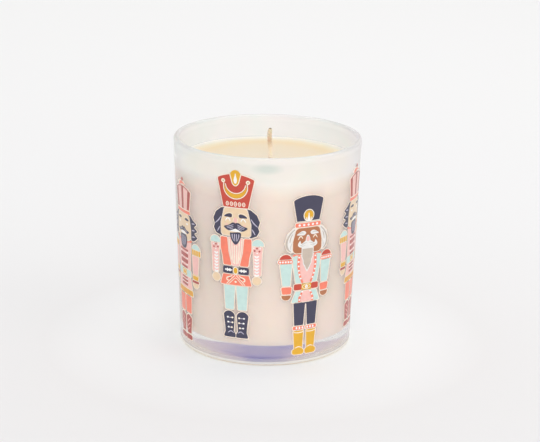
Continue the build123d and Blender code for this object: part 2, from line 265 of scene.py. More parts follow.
def span(start, end, steps):
    """Points (r, z) on a straight run, without its last point."""
    return [
        (start[0] + (end[0] - start[0]) * i / steps, start[1] + (end[1] - start[1]) * i / steps)
        for i in range(steps)
    ]


def lathe(profile, turns):
    """Vertices and faces of a profile turned about Z; a point on the axis closes to one vertex."""
    verts = []
    rings = []
    for r, z in profile:
        if r == 0:
            rings.append([len(verts)] * turns)
            verts.append((0, 0, z))
            continue
        rings.append(list(range(len(verts), len(verts) + turns)))
        for i in range(turns):
            angle = 2 * math.pi * i / turns
            verts.append((r * math.cos(angle), r * math.sin(angle), z))
    faces = []
    for low, high in zip(rings, rings[1:]):
        for i in range(turns):
            j = (i + 1) % turns
            face = [low[i], low[j], high[j], high[i]]
            faces.append([v for k, v in enumerate(face) if v not in face[:k]])
    return verts, faces


def smooth_line(points, samples):
    """Points on a smooth line through the given ones (Catmull-Rom), of any number of dimensions."""
    line = []
    ends = [points[0]] + list(points) + [points[-1]]
    for a, b, c, d in zip(ends, ends[1:], ends[2:], ends[3:]):
        for i in range(samples):
            t = i / samples
            line.append(
                tuple(
                    0.5 * (2 * q + (r - p) * t + (2 * p - 5 * q + 4 * r - s) * t * t
                           + (3 * q - p - 3 * r + s) * t * t * t)
                    for p, q, r, s in zip(a, b, c, d)
                )
            )
    line.append(tuple(points[-1]))
    return line


# ---------------------------------------------------------------- glass

GLASS_TURNS = 384
FAN = 2 * MM  # radius of the fan of faces that closes a turned piece on its axis

# How much the lustre hides, seen straight on, at each part of the glass.
VEIL_AT_HEEL = 0.85
VEIL_AT_BASE = 0.05
VEIL = 0.32
VEIL_AT_TOP = 0.5
VEIL_AT_LIP = 0.58
VEIL_EDGE_ON = 0.8
VEIL_GLOW = 0.3  # the share of the lustre that lets light through

HEEL_BAND = 4 * MM
UNCOATED = 0.9 * base_radius  # the underside has no lustre out to here
COATED = 0.93 * base_radius

REFLECTION_REACH = Vector((8 * MM, 12 * MM, 2.8 * MM))  # to the edge of the painted mint reflection, along each axis
REFLECTION_DROP = 4.8 * MM  # from the rim down to the middle of the painted mint reflection


def glass_profile():
    """The tumbler's whole section, from the middle of the underside round to the middle of the floor."""
    ring_inside = base_radius - heel_radius - foot_ring_width
    lean = math.degrees(math.atan2(rim_radius - base_radius, height))
    heel = (wall_radius(heel_radius) - heel_radius / math.cos(math.radians(lean)), heel_radius)
    lip_centre = (wall_radius(height - lip) - lip, height - lip)
    corner = (inner_radius(floor_level + corner_radius) - corner_radius, floor_level + corner_radius)
    hollow_edge = (ring_inside - 2 * foot_ring_width, foot_hollow)
    over_heel = heel_radius * 1.5
    under_lip = height - lip
    inside_top = height - 1.5 * lip
    over_corner = floor_level + 1.5 * corner_radius
    profile = [(0, foot_hollow)]
    profile += span((FAN, foot_hollow), hollow_edge, 8)
    profile += span(hollow_edge, (ring_inside, 0), 6)
    profile += span((ring_inside, 0), (heel[0], 0), 2)
    profile += arc(heel, heel_radius, -90, -lean, 10)
    profile += span((wall_radius(over_heel), over_heel), (wall_radius(under_lip), under_lip), 48)
    profile += arc(lip_centre, lip, 0, 180, 12)
    profile += span((inner_radius(inside_top), inside_top), (inner_radius(over_corner), over_corner), 40)
    profile += arc(corner, corner_radius, 0, -90, 10)
    profile += span((corner[0] - MM, floor_level), (FAN, floor_level), 8)
    profile += [(0, floor_level)]
    return profile


def painted_mint_reflection(look):
    """A painted reflection: one soft mint patch on the lustre at the front, under the rim, from 0 to 1."""
    width, depth, tall = REFLECTION_REACH
    spot = look.node("ShaderNodeMapping")
    spot.inputs["Location"].default_value = (0, rim_radius / depth, -(height - REFLECTION_DROP) / tall)
    spot.inputs["Scale"].default_value = (1 / width, 1 / depth, 1 / tall)
    look.link(look.place(), spot.inputs["Vector"])
    away = look.node("ShaderNodeVectorMath", operation="LENGTH")
    look.link(spot.outputs["Vector"], away.inputs[0])
    return look.ramp(away.outputs["Value"], (0.35, 1.0), (1.0, 0.0))


def veil_colour(look):
    """The milky lustre: white, with soft patches of pink, mint and lilac, a painted mint reflection under
    the rim, and painted light and shade at the heel.
    """
    patches = look.ramp(
        look.noise(26, 2.0),
        (0.32, (249, 245, 246)), (0.44, (248, 248, 247)), (0.5, (243, 248, 246)),
        (0.56, (248, 247, 246)), (0.68, (246, 244, 250)),
    )
    # a painted reflection: a soft mint spot at the front, under the rim
    patches = look.mix(painted_mint_reflection(look), patches, (206, 224, 224))
    rise = look.rise(0, HEEL_BAND)
    # painted light and shade at the heel: a straw-coloured line at the floor, a white highlight line over
    # it, and a grey band of painted shade above
    heel = look.ramp(
        rise,
        (0.0, (254, 240, 214)), (0.2, (250, 236, 208)), (0.28, (255, 254, 244)), (0.5, (255, 254, 244)),
        (0.57, (214, 212, 210)), (0.95, (220, 218, 220)),
    )
    return look.mix(look.ramp(rise, (0.9, 0.0), (1.0, 1.0)), heel, patches)


def veil_depth(look):
    """How much the lustre hides at each height, seen straight on: least at the base, most at the heel."""
    upper = look.ramp(
        look.rise(0, height),
        (0.0, VEIL_AT_BASE), (0.088, VEIL_AT_BASE), (0.105, VEIL), (0.8, VEIL),
        (0.88, VEIL_AT_TOP), (0.965, VEIL_AT_TOP), (0.985, VEIL_AT_LIP),
    )
    heel = look.ramp(
        look.rise(0, HEEL_BAND),
        (0.0, VEIL_AT_HEEL), (0.5, VEIL_AT_HEEL), (0.58, 0.5), (0.85, 0.4), (1.0, 0.1),
    )
    return look.maths("MAXIMUM", upper, heel)


def glass_material():
    """Clear glass under a thin pearl lustre, which hides more where it is seen edge on."""
    look = Surface("lustre_glass")
    look.set(Base_Color=colour((254, 254, 253)), Roughness=0.02, IOR=1.5, Transmission_Weight=1.0)
    veil = look.node("ShaderNodeBsdfDiffuse")
    look.link(veil_colour(look), veil.inputs["Color"])
    glow = look.node("ShaderNodeBsdfTranslucent", Color=colour((250, 250, 252)))
    scatter = look.blend(VEIL_GLOW, veil.outputs[0], glow.outputs[0])
    edge_on = look.node("ShaderNodeLayerWeight", Blend=0.35)
    edge_veil = look.ramp(edge_on.outputs["Facing"], (0.45, 0.0), (1.0, VEIL_EDGE_ON))
    depth = look.maths("MAXIMUM", veil_depth(look), edge_veil)
    # the wall is coated, but not the underside
    coated = look.share(look.radius(), UNCOATED, COATED)
    haze = look.blend(look.maths("MULTIPLY", depth, coated), look.shader.outputs[0], scatter)
    # lamps shine straight through
    clear = look.node("ShaderNodeBsdfTransparent")
    path = look.node("ShaderNodeLightPath")
    lamp_pass = look.blend(path.outputs["Is Shadow Ray"], haze, clear.outputs[0])
    look.link(lamp_pass, look.output.inputs["Surface"])
    return look.material


def build_glass():
    verts, faces = lathe(glass_profile(), GLASS_TURNS)
    piece = add_piece("tumbler_glass", verts, faces, glass_material())
    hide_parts("glass_tumbler")


# ---------------------------------------------------------------- wax

WAX_TURNS = 256
# strength of the painted glow of the wax
PAINTED_GLOW = 0.8
GRIP = 0.04 * MM  # how far the wax reaches into the glass, so that no gap shows between them


def wax_material():
    """Cream wax: peach down the side and more golden on top, with a painted lilac reflection of the coated
    base underneath and a painted glow.
    """
    look = Surface("candle_wax")
    look.set(Roughness=0.42, IOR=1.44, Subsurface_Weight=0.35, Subsurface_Scale=0.006)
    look.set(Subsurface_Radius=(1.0, 0.62, 0.36), Coat_Weight=0.05, Coat_Roughness=0.3)
    side = look.ramp(look.noise(38, 5.0), (0.3, (245, 226, 210)), (0.7, (249, 231, 217)))
    # the top, golden in a ring, and paler inside it and right at the wall
    top = look.ramp(
        look.share(look.radius(), 0, wax_edge_radius),
        (0.2, (233, 219, 195)), (0.64, (234, 217, 188)), (0.8, (236, 215, 176)), (0.91, (240, 226, 198)),
        (1.0, (242, 237, 228)),
    )
    is_top = look.rise(wax_level - 5 * MM, wax_level - 0.5 * MM)
    body = look.mix(is_top, side, top)
    # a painted reflection of the coated base on the underside, bluer in the middle than at the left and
    # right
    aside = look.share(look.maths("ABSOLUTE", look.axis("X")), 4 * MM, 24 * MM)
    uneven = look.ramp(look.noise(70, 2.0), (0.35, 0.0), (0.65, 0.25))
    base_reflection = look.ramp(
        look.maths("ADD", aside, uneven),
        (0.1, (112, 104, 156)), (0.5, (176, 161, 172)), (0.9, (196, 186, 178)),
    )
    is_under = look.rise(floor_level + 0.6 * MM, floor_level + 0.1 * MM)
    look.base(look.mix(is_under, body, base_reflection))
    # painted glow: a faint one down the side and none on top, a stronger one on the lower corner, which
    # faces down into shade, and the painted reflection's colour on the underside
    inner = look.mix(is_top, (58, 42, 38), (0, 0, 0))
    past_corner = look.ramp(look.rise(floor_level, floor_level + corner_radius), (0.3, 0.0), (1.0, 1.0))
    inner = look.mix(past_corner, (138, 122, 112), inner)
    look.link(look.mix(is_under, inner, base_reflection), look.shader.inputs["Emission Color"])
    look.set(Emission_Strength=PAINTED_GLOW)
    look.bump(look.noise(900, 6.0), 0.05, 0.0003)
    return look.material


def build_wax():
    """The wax, with its climb at the wall and at the wick, and a slight dish between them."""
    corner = (inner_radius(floor_level + corner_radius) - corner_radius, floor_level + corner_radius)
    over_corner = floor_level + 1.5 * corner_radius
    climb_steps = 12
    climb_power = 2.6
    surface_depth = 0.2 * MM  # the points down to here under the level belong to the top
    dish_depth = 0.22 * MM
    wick_climb = 0.7 * MM
    wick_climb_reach = 0.9 * MM
    wick_x = wick_at(wax_level).x
    profile = [(0, floor_level - GRIP)]
    profile += span((FAN, floor_level - GRIP), (corner[0], floor_level - GRIP), 6)
    profile += arc(corner, corner_radius + GRIP, -90, 0, 10)
    profile += span(
        (inner_radius(over_corner) + GRIP, over_corner),
        (inner_radius(wax_edge_level) + GRIP, wax_edge_level),
        36,
    )
    for i in range(climb_steps + 1):
        share = i / climb_steps
        edge = inner_radius(wax_edge_level) + GRIP - wax_climb_width * share
        profile.append((edge, wax_level + wax_climb * (1 - share) ** climb_power))
    profile += span((edge - MM, wax_level), (FAN, wax_level), 30)
    profile += [(0, wax_level)]
    verts, faces = lathe(profile, WAX_TURNS)
    settled = []
    for x, y, z in verts:
        if z > wax_level - surface_depth:
            r = math.hypot(x, y)
            near = math.hypot(x - wick_x, y)
            dish = dish_depth * (math.cos(math.pi * min(r / wax_edge_radius, 1)) + 1) / 2
            climb = wick_climb * math.exp(-max(near - wick_radius, 0) / wick_climb_reach)
            z += climb - dish
        settled.append((x, y, z))
    piece = add_piece("poured_wax", settled, faces, wax_material())
    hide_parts("wax_fill")


# ---------------------------------------------------------------- wick

wick_radius = 1.1 * MM
# The wick's middle line in millimetres, as the CAD model has it.
wick_route = [
    (0, 0, pad_high.z / MM),
    (0, 0, 40),
    (1.3, 0, 83),
    (1.35, 0, 89.5),
    (0.9, 0, 95),
    (0.85, 0, 98),
    (1.15, 0, 100.7),
]
wick_line = [Vector(p) * MM for p in smooth_line(wick_route, 12)]


def wick_at(z):
    """The wick's middle at height z."""
    for low, high in zip(wick_line, wick_line[1:]):
        if low.z <= z <= high.z:
            return low.lerp(high, (z - low.z) / (high.z - low.z))
    return wick_line[-1]


def wick_material():
    """Waxed cotton, with a painted shadow where it leaves the wax, and darker half way up and at its tip."""
    look = Surface("waxed_cotton")
    look.set(Roughness=0.5, Subsurface_Weight=0.2, Subsurface_Scale=0.001, Sheen_Weight=0.15)
    # a painted shadow at its foot, then darker half way up and at its tip
    tone_and_shadow = look.ramp(
        look.rise(wax_level, wick_high.z),
        (0.0, (150, 128, 108)), (0.07, (250, 233, 214)), (0.35, (248, 229, 206)), (0.58, (214, 186, 156)),
        (0.75, (230, 208, 180)), (0.96, (234, 214, 186)), (0.995, (104, 80, 66)),
    )
    look.base(tone_and_shadow)
    look.bump(look.noise(2600, 6.0, (1, 1, 0.25)), 0.35, 0.0002)
    return look.material


def build_wick():
    """Three plaited strands, filled with wax, inside the wick's own thickness."""
    strands = 3
    around = 10
    finer = 4
    sunk = 4 * MM  # how far down in the wax the strands begin
    pitch = 4.2 * MM
    strand_radius = 0.64 * MM
    sway = 0.46 * MM
    weave = 0.34 * MM
    tip = 1.6 * MM
    visible = [p for p in wick_line if p.z > wax_level - sunk]
    line = []
    for a, b in zip(visible, visible[1:]):
        line += [a.lerp(b, i / finer) for i in range(finer)]
    line.append(visible[-1])
    verts, faces = [], []
    for strand in range(strands):
        begin = len(verts)
        for k, point in enumerate(line):
            turn = 2 * math.pi * ((point.z - line[0].z) / pitch + strand / strands)
            side = sway * math.cos(turn)
            depth = weave * math.sin(2 * turn)
            taper = 1 - 0.5 * max(0, (point.z - wick_high.z + tip) / tip) ** 2
            for j in range(around):
                angle = 2 * math.pi * j / around
                verts.append((
                    point.x + (side + strand_radius * math.cos(angle)) * taper,
                    point.y + (depth + strand_radius * math.sin(angle)) * taper,
                    min(point.z, wick_high.z),
                ))
        for k in range(len(line) - 1):
            for j in range(around):
                a = begin + k * around + j
                b = begin + k * around + (j + 1) % around
                faces.append((a, b, b + around, a + around))
        faces.append(tuple(begin + j for j in reversed(range(around))))
        faces.append(tuple(begin + (len(line) - 1) * around + j for j in range(around)))
    piece = add_piece("plaited_wick", verts, faces, wick_material())
    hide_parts("wick_braid")


# ---------------------------------------------------------------- inks on the CAD prints

INKS = {
    "cream_ink": (246, 230, 213),
    "red_ink": (203, 72, 55),
    "navy_ink": (62, 60, 84),
    "gold_ink": (233, 176, 38),
    "skin_ink": (240, 212, 176),
    "brown_ink": (184, 116, 76),
    "coral_ink": (250, 132, 106),
    "pink_ink": (249, 196, 188),
    "mint_ink": (201, 228, 222),
    "dark_red_ink": (180, 76, 68),
    "taupe_ink": (203, 188, 173),
    "white_ink": (240, 237, 233),
}


def enamel(name, rgb):
    """Fired enamel: slightly uneven in depth, glossy, with a fine orange peel."""
    look = Surface(name)
    look.set(Roughness=0.28, IOR=1.5, Coat_Weight=0.25, Coat_Roughness=0.12)
    red, green, blue = rgb
    darker = (red * 0.955, green * 0.955, blue * 0.96)
    look.base(look.ramp(look.noise(420, 4.0), (0.3, darker), (0.68, rgb)))
    look.bump(look.noise(3500, 2.0), 0.06, 0.00005)
    return look.material


ink_looks = {slot: enamel(slot, rgb) for slot, rgb in INKS.items()}


def dress_cad_nodes():
    """Gives the CAD inks their enamels, and the hidden sustainer and its glue pad their own looks."""
    slots = {row["node"]: row["material_slot"] for row in frame["record"]["subparts"]}
    for name, node in frame["nodes"].items():
        if slots[name] in ink_looks:
            for place in node.material_slots:
                place.material = ink_looks[slots[name]]
    tin = Surface("tinned_steel")
    tin.set(Metallic=1.0, Roughness=0.32)
    tin.base(tin.ramp(tin.noise(300, 5.0), (0.3, (186, 186, 190)), (0.7, (208, 208, 210))))
    glue = Surface("hot_glue")
    glue.set(Roughness=0.35, Subsurface_Weight=0.3, Subsurface_Scale=0.002)
    glue.base(glue.ramp(glue.noise(220, 3.0), (0.3, (232, 226, 208)), (0.7, (242, 238, 226))))
    for name, look in (("wick_sustainer", tin), ("sustainer_glue_pad", glue)):
        for place in frame["nodes"][name].material_slots:
            place.material = look.material


# ---------------------------------------------------------------- fine strokes of the prints
# The CAD films hold the flat colours. Over them go the thin lines and spots, as raised ink of their own.
# They are drawn flat as the films are: millimetres, x from a soldier's middle line, y up from its soles.

FILM = 0.05  # thickness of one CAD ink layer, mm
PROUD = 0.03  # how far a stroke stands over the layer that it is on, mm
FIGURES = 8
FIRST_ANGLE = -63.9  # degrees from the front to place 0, with the right positive
LIFT = 6.2  # how much higher every second figure stands, mm
LINE_SAMPLES = 6
RING_TURNS = 24
SPOT_SLICES = 12

# Each stroke's colour, with the slot that it shares.
STROKE_INKS = {
    "white": ("white_ink", (253, 251, 248)),
    "cream": ("cream_ink", (253, 240, 219)),
    "lilac": ("white_ink", (196, 190, 210)),
    "grey": ("taupe_ink", (214, 211, 207)),
    "taupe": ("taupe_ink", (196, 184, 172)),
    "tan": ("gold_ink", (196, 178, 132)),
    "coral": ("coral_ink", (240, 128, 104)),
    "pink": ("pink_ink", (244, 178, 168)),
    "dark_red": ("dark_red_ink", (164, 88, 74)),
}


class Drawing:
    """The fine strokes of one soldier, kept by ink, and laid on the glass at each of its places."""

    def __init__(self, design, soles, places):
        self.design = design
        self.soles = soles
        self.places = places
        self.strips = {}

    def keep(self, ink, rails, over, both, closed=False):
        """Keeps a stroke that lies over some layers, and its mirror image too if it is on both sides."""
        strips = self.strips.setdefault(ink, [])
        strips.append((rails, over, closed))
        if both:
            strips.append(([((-c, d), (-a, b)) for (a, b), (c, d) in rails], over, closed))

    def line(self, ink, points, width, over=1, both=False):
        """A stroke along a smooth line, with one width or a width at each point."""
        widths = width if isinstance(width, list) else [width] * len(points)
        path = smooth_line([(x, y, w) for (x, y), w in zip(points, widths)], LINE_SAMPLES)
        rails = []
        for k, (x, y, w) in enumerate(path):
            before, after = path[max(k - 1, 0)], path[min(k + 1, len(path) - 1)]
            along = Vector((after[0] - before[0], after[1] - before[1])).normalized()
            side = Vector((-along.y, along.x)) * (w / 2)
            rails.append(((x + side.x, y + side.y), (x - side.x, y - side.y)))
        self.keep(ink, rails, over, both)

    def ring(self, ink, x, y, x_radius, y_radius, width, over=1, both=False):
        """An oval line."""
        rails = []
        for k in range(RING_TURNS):
            angle = 2 * math.pi * k / RING_TURNS
            out = (math.cos(angle), math.sin(angle))
            rails.append(tuple(
                (x + (x_radius + grow) * out[0], y + (y_radius + grow) * out[1])
                for grow in (-width / 2, width / 2)
            ))
        self.keep(ink, rails, over, both, closed=True)

    def spot(self, ink, x, y, x_radius, y_radius=None, over=1, both=False):
        """A filled oval, sliced from its top to its bottom."""
        tall = y_radius or x_radius
        rails = []
        for k in range(SPOT_SLICES + 1):
            angle = math.pi * (k + 0.5) / (SPOT_SLICES + 1)
            half = x_radius * math.sin(angle)
            level = y + tall * math.cos(angle)
            rails.append(((x - half, level), (x + half, level)))
        self.keep(ink, rails, over, both)

    def lay(self):
        """One piece for each ink, with all its strokes at all the places of the design."""
        for ink, strips in self.strips.items():
            verts, faces = [], []
            for place in self.places:
                angle = math.radians(FIRST_ANGLE + place * 360 / FIGURES)
                outward = Vector((math.sin(angle), -math.cos(angle), 0))
                across = Vector((math.cos(angle), math.sin(angle), 0))
                foot = self.soles + LIFT * (place % 2)
                for rails, over, closed in strips:
                    add_strip(verts, faces, rails, over, closed, outward, across, foot)
            name = f"{self.design}_{ink}_strokes"
            piece = add_piece(name, verts, faces, stroke_looks[ink], smooth=False)
            tidy = bmesh.new()
            tidy.from_mesh(piece.data)
            bmesh.ops.recalc_face_normals(tidy, faces=tidy.faces)
            tidy.to_mesh(piece.data)
            tidy.free()


def add_strip(verts, faces, rails, over, closed, outward, across, foot):
    """Adds one closed ribbon between two rails, from inside its layer to just over it."""
    begin = len(verts)
    low = (over * FILM + FILM / 2) * MM
    high = ((over + 1) * FILM + PROUD) * MM
    for left, right in rails:
        for (x, y), rise in ((left, low), (right, low), (right, high), (left, high)):
            level = (foot + y) * MM
            reach = math.sqrt((wall_radius(level) + rise) ** 2 - (x * MM) ** 2)
            point = across * (x * MM) + outward * reach
            verts.append((point.x, point.y, level))
    sections = len(rails)
    for k in range(sections if closed else sections - 1):
        a = begin + 4 * k
        b = begin + 4 * ((k + 1) % sections)
        for i in range(4):
            j = (i + 1) % 4
            faces.append((a + i, a + j, b + j, b + i))
    if not closed:
        last = begin + 4 * (sections - 1)
        faces.append((begin + 3, begin + 2, begin + 1, begin))
        faces.append((last, last + 1, last + 2, last + 3))


def hanging(half_width, top, bottom):
    """Points on the arc that hangs between two level ends."""
    drop = top - bottom
    radius = (half_width**2 + drop**2) / (2 * drop)
    centre = bottom + radius
    reach = math.acos((centre - top) / radius)
    return [
        (radius * math.sin(reach * k / 4), centre - radius * math.cos(reach * k / 4)) for k in range(-4, 5)
    ]


def draw_red_hat():
    sheet = Drawing("red_hat_soldier", soles=7.0, places=(1, 4, 6))
    # hat
    flame = [(0, 72.4), (0, 73.6), (0, 74.8), (0, 75.6), (0, 76.9)]
    sheet.line("white", flame, [0.8, 1.5, 1.3, 0.7, 0.35], over=2)
    shield = [(-2.5, 76.4), (-1.95, 74.2), (-1.3, 72.2), (0, 71.3), (1.3, 72.2), (1.95, 74.2), (2.5, 76.4)]
    sheet.line("cream", shield, 0.42, over=2)
    sheet.line("cream", hanging(5.45, 72.3, 65.35), 0.45, over=2)
    sheet.line("cream", hanging(4.75, 72.0, 67.85), 0.42, over=2)
    sheet.spot("cream", 5.75, 73.2, 0.95, over=2, both=True)
    sheet.spot("tan", 5.75, 73.2, 0.36, over=3, both=True)
    for x, tall in ((-3.8, 0.85), (-1.85, 0.85), (0, 1.0), (1.9, 0.85), (3.8, 0.85)):
        sheet.ring("cream", x, 62.95, 0.58, tall, 0.34)
        sheet.spot("pink", x, 62.95, 0.26, tall * 0.55)
    # head
    sheet.line("cream", [(1.5, 56.6), (1.45, 58.3), (3.2, 58.75), (4.8, 57.9), (5.8, 56.5)], 0.26, both=True)
    eye = [(2.5, 54.9), (3.0, 56.0), (3.9, 56.15), (4.8, 54.9)]
    sheet.line("white", eye, [0.3, 0.55, 0.55, 0.3], both=True)
    sheet.line("cream", [(0.75, 56.4), (1.1, 55.0), (0.85, 54.2)], 0.22, both=True)
    sheet.line("lilac", [(0.9, 53.45), (2.4, 52.8), (4.2, 52.15)], [0.2, 0.36, 0.2], over=2, both=True)
    sheet.line("lilac", [(1.0, 52.6), (2.4, 52.0), (3.9, 51.6)], [0.2, 0.34, 0.2], over=2, both=True)
    sheet.line("lilac", [(1.1, 51.9), (2.0, 51.4), (2.9, 51.15)], [0.2, 0.3, 0.2], over=2, both=True)
    smile = [(-3.4, 50.55), (-1.8, 50.6), (0, 51.0), (1.8, 50.6), (3.4, 50.55)]
    sheet.line("white", smile, [0.2, 0.8, 1.7, 0.8, 0.2])
    sheet.line("lilac", [(0.45, 49.1), (0.45, 47.4), (0.35, 45.7)], [0.4, 0.36, 0.2], over=2, both=True)
    sheet.line("lilac", [(1.55, 49.1), (1.45, 47.6), (0.75, 45.9)], [0.42, 0.38, 0.2], over=2, both=True)
    sheet.line("lilac", [(7.0, 56.5), (8.3, 54.6), (9.95, 53.0)], [0.3, 0.5, 0.3], both=True)
    sheet.line("lilac", [(7.4, 51.9), (8.1, 50.8), (8.8, 49.4)], [0.25, 0.48, 0.3], both=True)
    # shirt, belt and coat tails
    sheet.line("cream", [(0.55, 43.8), (0.55, 39.5), (0.45, 35.0)], 0.5, both=True)
    sheet.line("cream", [(1.75, 46.8), (1.6, 41.0), (1.1, 35.4)], 0.5, both=True)
    sheet.line("cream", [(2.95, 46.7), (2.6, 41.5), (1.85, 37.0)], 0.45, both=True)
    beads = ((2.0, 0.4, 0.3), (2.7, 0.5, 0.72), (3.4, 0.45, 0.45), (3.9, 0.45, 0.78), (4.7, 0.42, 0.42))
    for x, wide, tall in beads:
        sheet.spot("white", x, 32.1, wide, tall, over=2, both=True)
    sheet.ring("cream", 0, 32, 1.12, 1.62, 0.4, over=2)
    sheet.line("cream", [(0.3, 29.7), (1.6, 28.4), (3.1, 26.8), (4.4, 25.3)], 0.34, both=True)
    sheet.line("cream", [(0.0, 28.6), (1.1, 27.7), (2.5, 26.2), (3.5, 25.3)], 0.3, both=True)
    curl = [(1.5, 29.6), (2.6, 29.0), (4.1, 28.3), (4.1, 27.2), (3.3, 27.1)]
    sheet.line("cream", curl, [0.3, 0.5, 0.55, 0.5, 0.3], both=True)
    sheet.spot("dark_red", 2.7, 28.2, 0.5, 0.35, both=True)
    sheet.spot("cream", 0, 26.7, 0.55, 0.45)
    # sleeves
    for y in (39.3, 37.85, 36.4, 34.95, 33.5, 32.05, 30.6):
        leaf = [(8.55, y + 0.25), (9.5, y - 0.3), (10.45, y + 0.25)]
        sheet.line("white", leaf, [0.55, 0.9, 0.55], both=True)
    for x, y in ((8.3, 43.2), (11.0, 43.1), (9.7, 40.9)):
        sheet.spot("white", x, y, 0.32, both=True)
    # boots
    for y, inner, outer in ((9.5, 1.6, 3.85), (7.15, 1.6, 3.65), (4.75, 1.95, 3.45)):
        sheet.line("lilac", [(inner, y - 0.1), (outer, y - 0.1)], 0.32, both=True)
        sheet.spot("cream", inner, y, 0.5, 0.42, over=2, both=True)
        sheet.spot("white", outer, y, 0.45, 0.4, over=2, both=True)
    sheet.line("lilac", [(1.0, 2.2), (2.3, 2.95), (3.8, 2.0)], [0.3, 0.42, 0.3], both=True)
    return sheet


def draw_navy_hat():
    sheet = Drawing("navy_hat_soldier", soles=5.1, places=(2, 5, 7))
    # hat
    halo = [(1.35, 63.5), (2.25, 65.0), (2.35, 66.6), (1.4, 68.05), (0, 68.5)]
    sheet.line("cream", [(-x, y) for x, y in halo[:-1]] + halo[::-1], 0.42, over=2)
    sheet.line("white", [(0, 63.0), (0, 64.3), (0, 65.5), (0, 67.0)], [1.8, 1.3, 0.6, 0.35], over=2)
    sheet.line("cream", [(1.0, 63.2), (1.2, 64.2), (1.05, 65.1)], [0.6, 0.45, 0.25], over=2, both=True)
    for x in (-4.3, -2.15, 0, 2.15, 4.3):
        sheet.spot("white", x, 61.5, 0.55, 0.52)
    # head
    sheet.line("grey", [(2.2, 57.8), (3.4, 58.0), (4.7, 57.5)], [0.3, 0.55, 0.3], over=2, both=True)
    eye = [(2.6, 55.2), (3.2, 56.15), (4.0, 56.1), (4.7, 54.9)]
    sheet.line("cream", eye, [0.3, 0.5, 0.5, 0.3], both=True)
    edge = [(6.4, 59.7), (8.3, 57.8), (9.7, 55.0), (9.95, 52.6), (9.1, 50.4), (7.9, 49.4)]
    sheet.line("taupe", edge, [0.4, 0.6, 0.8, 0.9, 0.7, 0.4], both=True)
    sheet.line("taupe", [(7.4, 57.6), (8.2, 55.8), (8.5, 53.8)], [0.25, 0.5, 0.3], both=True)
    sheet.line("grey", [(7.6, 53.4), (8.1, 51.6), (8.0, 50.2)], [0.25, 0.5, 0.25], both=True)
    sheet.line("grey", [(0.5, 53.2), (1.9, 52.9), (3.4, 52.0)], [0.2, 0.5, 0.3], over=2, both=True)
    sheet.line("grey", [(1.2, 52.1), (2.6, 51.7), (4.2, 52.5)], [0.2, 0.4, 0.25], over=2, both=True)
    # trims of the coat
    for x, y in (
        (4.05, 46.5), (4.2, 44.5), (4.15, 42.4), (3.95, 40.3), (3.6, 38.4), (2.9, 36.5),
        (2.0, 30.1), (2.85, 28.4), (3.2, 26.4),
    ):
        sheet.spot("white", x, y, 0.46, 0.42, over=2, both=True)
    for x in (7.7, 8.85, 10.05, 11.3, 12.5):
        sheet.spot("white", x, 44.8, 0.42, 0.45, both=True)
    # buckle, with a small flower
    sheet.ring("cream", 0, 32.5, 1.95, 1.1, 0.3, over=2)
    petals = 5
    for k in range(petals):
        angle = 2 * math.pi * (k + 0.25) / petals
        sheet.spot("white", 0.5 * math.cos(angle), 32.5 + 0.5 * math.sin(angle), 0.34, over=3)
    # boots
    for x in (1.2, 2.65, 4.1):
        sheet.spot("white", x, 12.85, 0.42, 0.6, both=True)
    sheet.line("cream", [(0.75, 10.85), (3.1, 10.55), (5.4, 10.85)], 0.42, both=True)
    sheet.line("cream", [(1.3, 3.2), (2.9, 3.75), (4.5, 3.2)], [0.3, 0.46, 0.3], both=True)
    return sheet


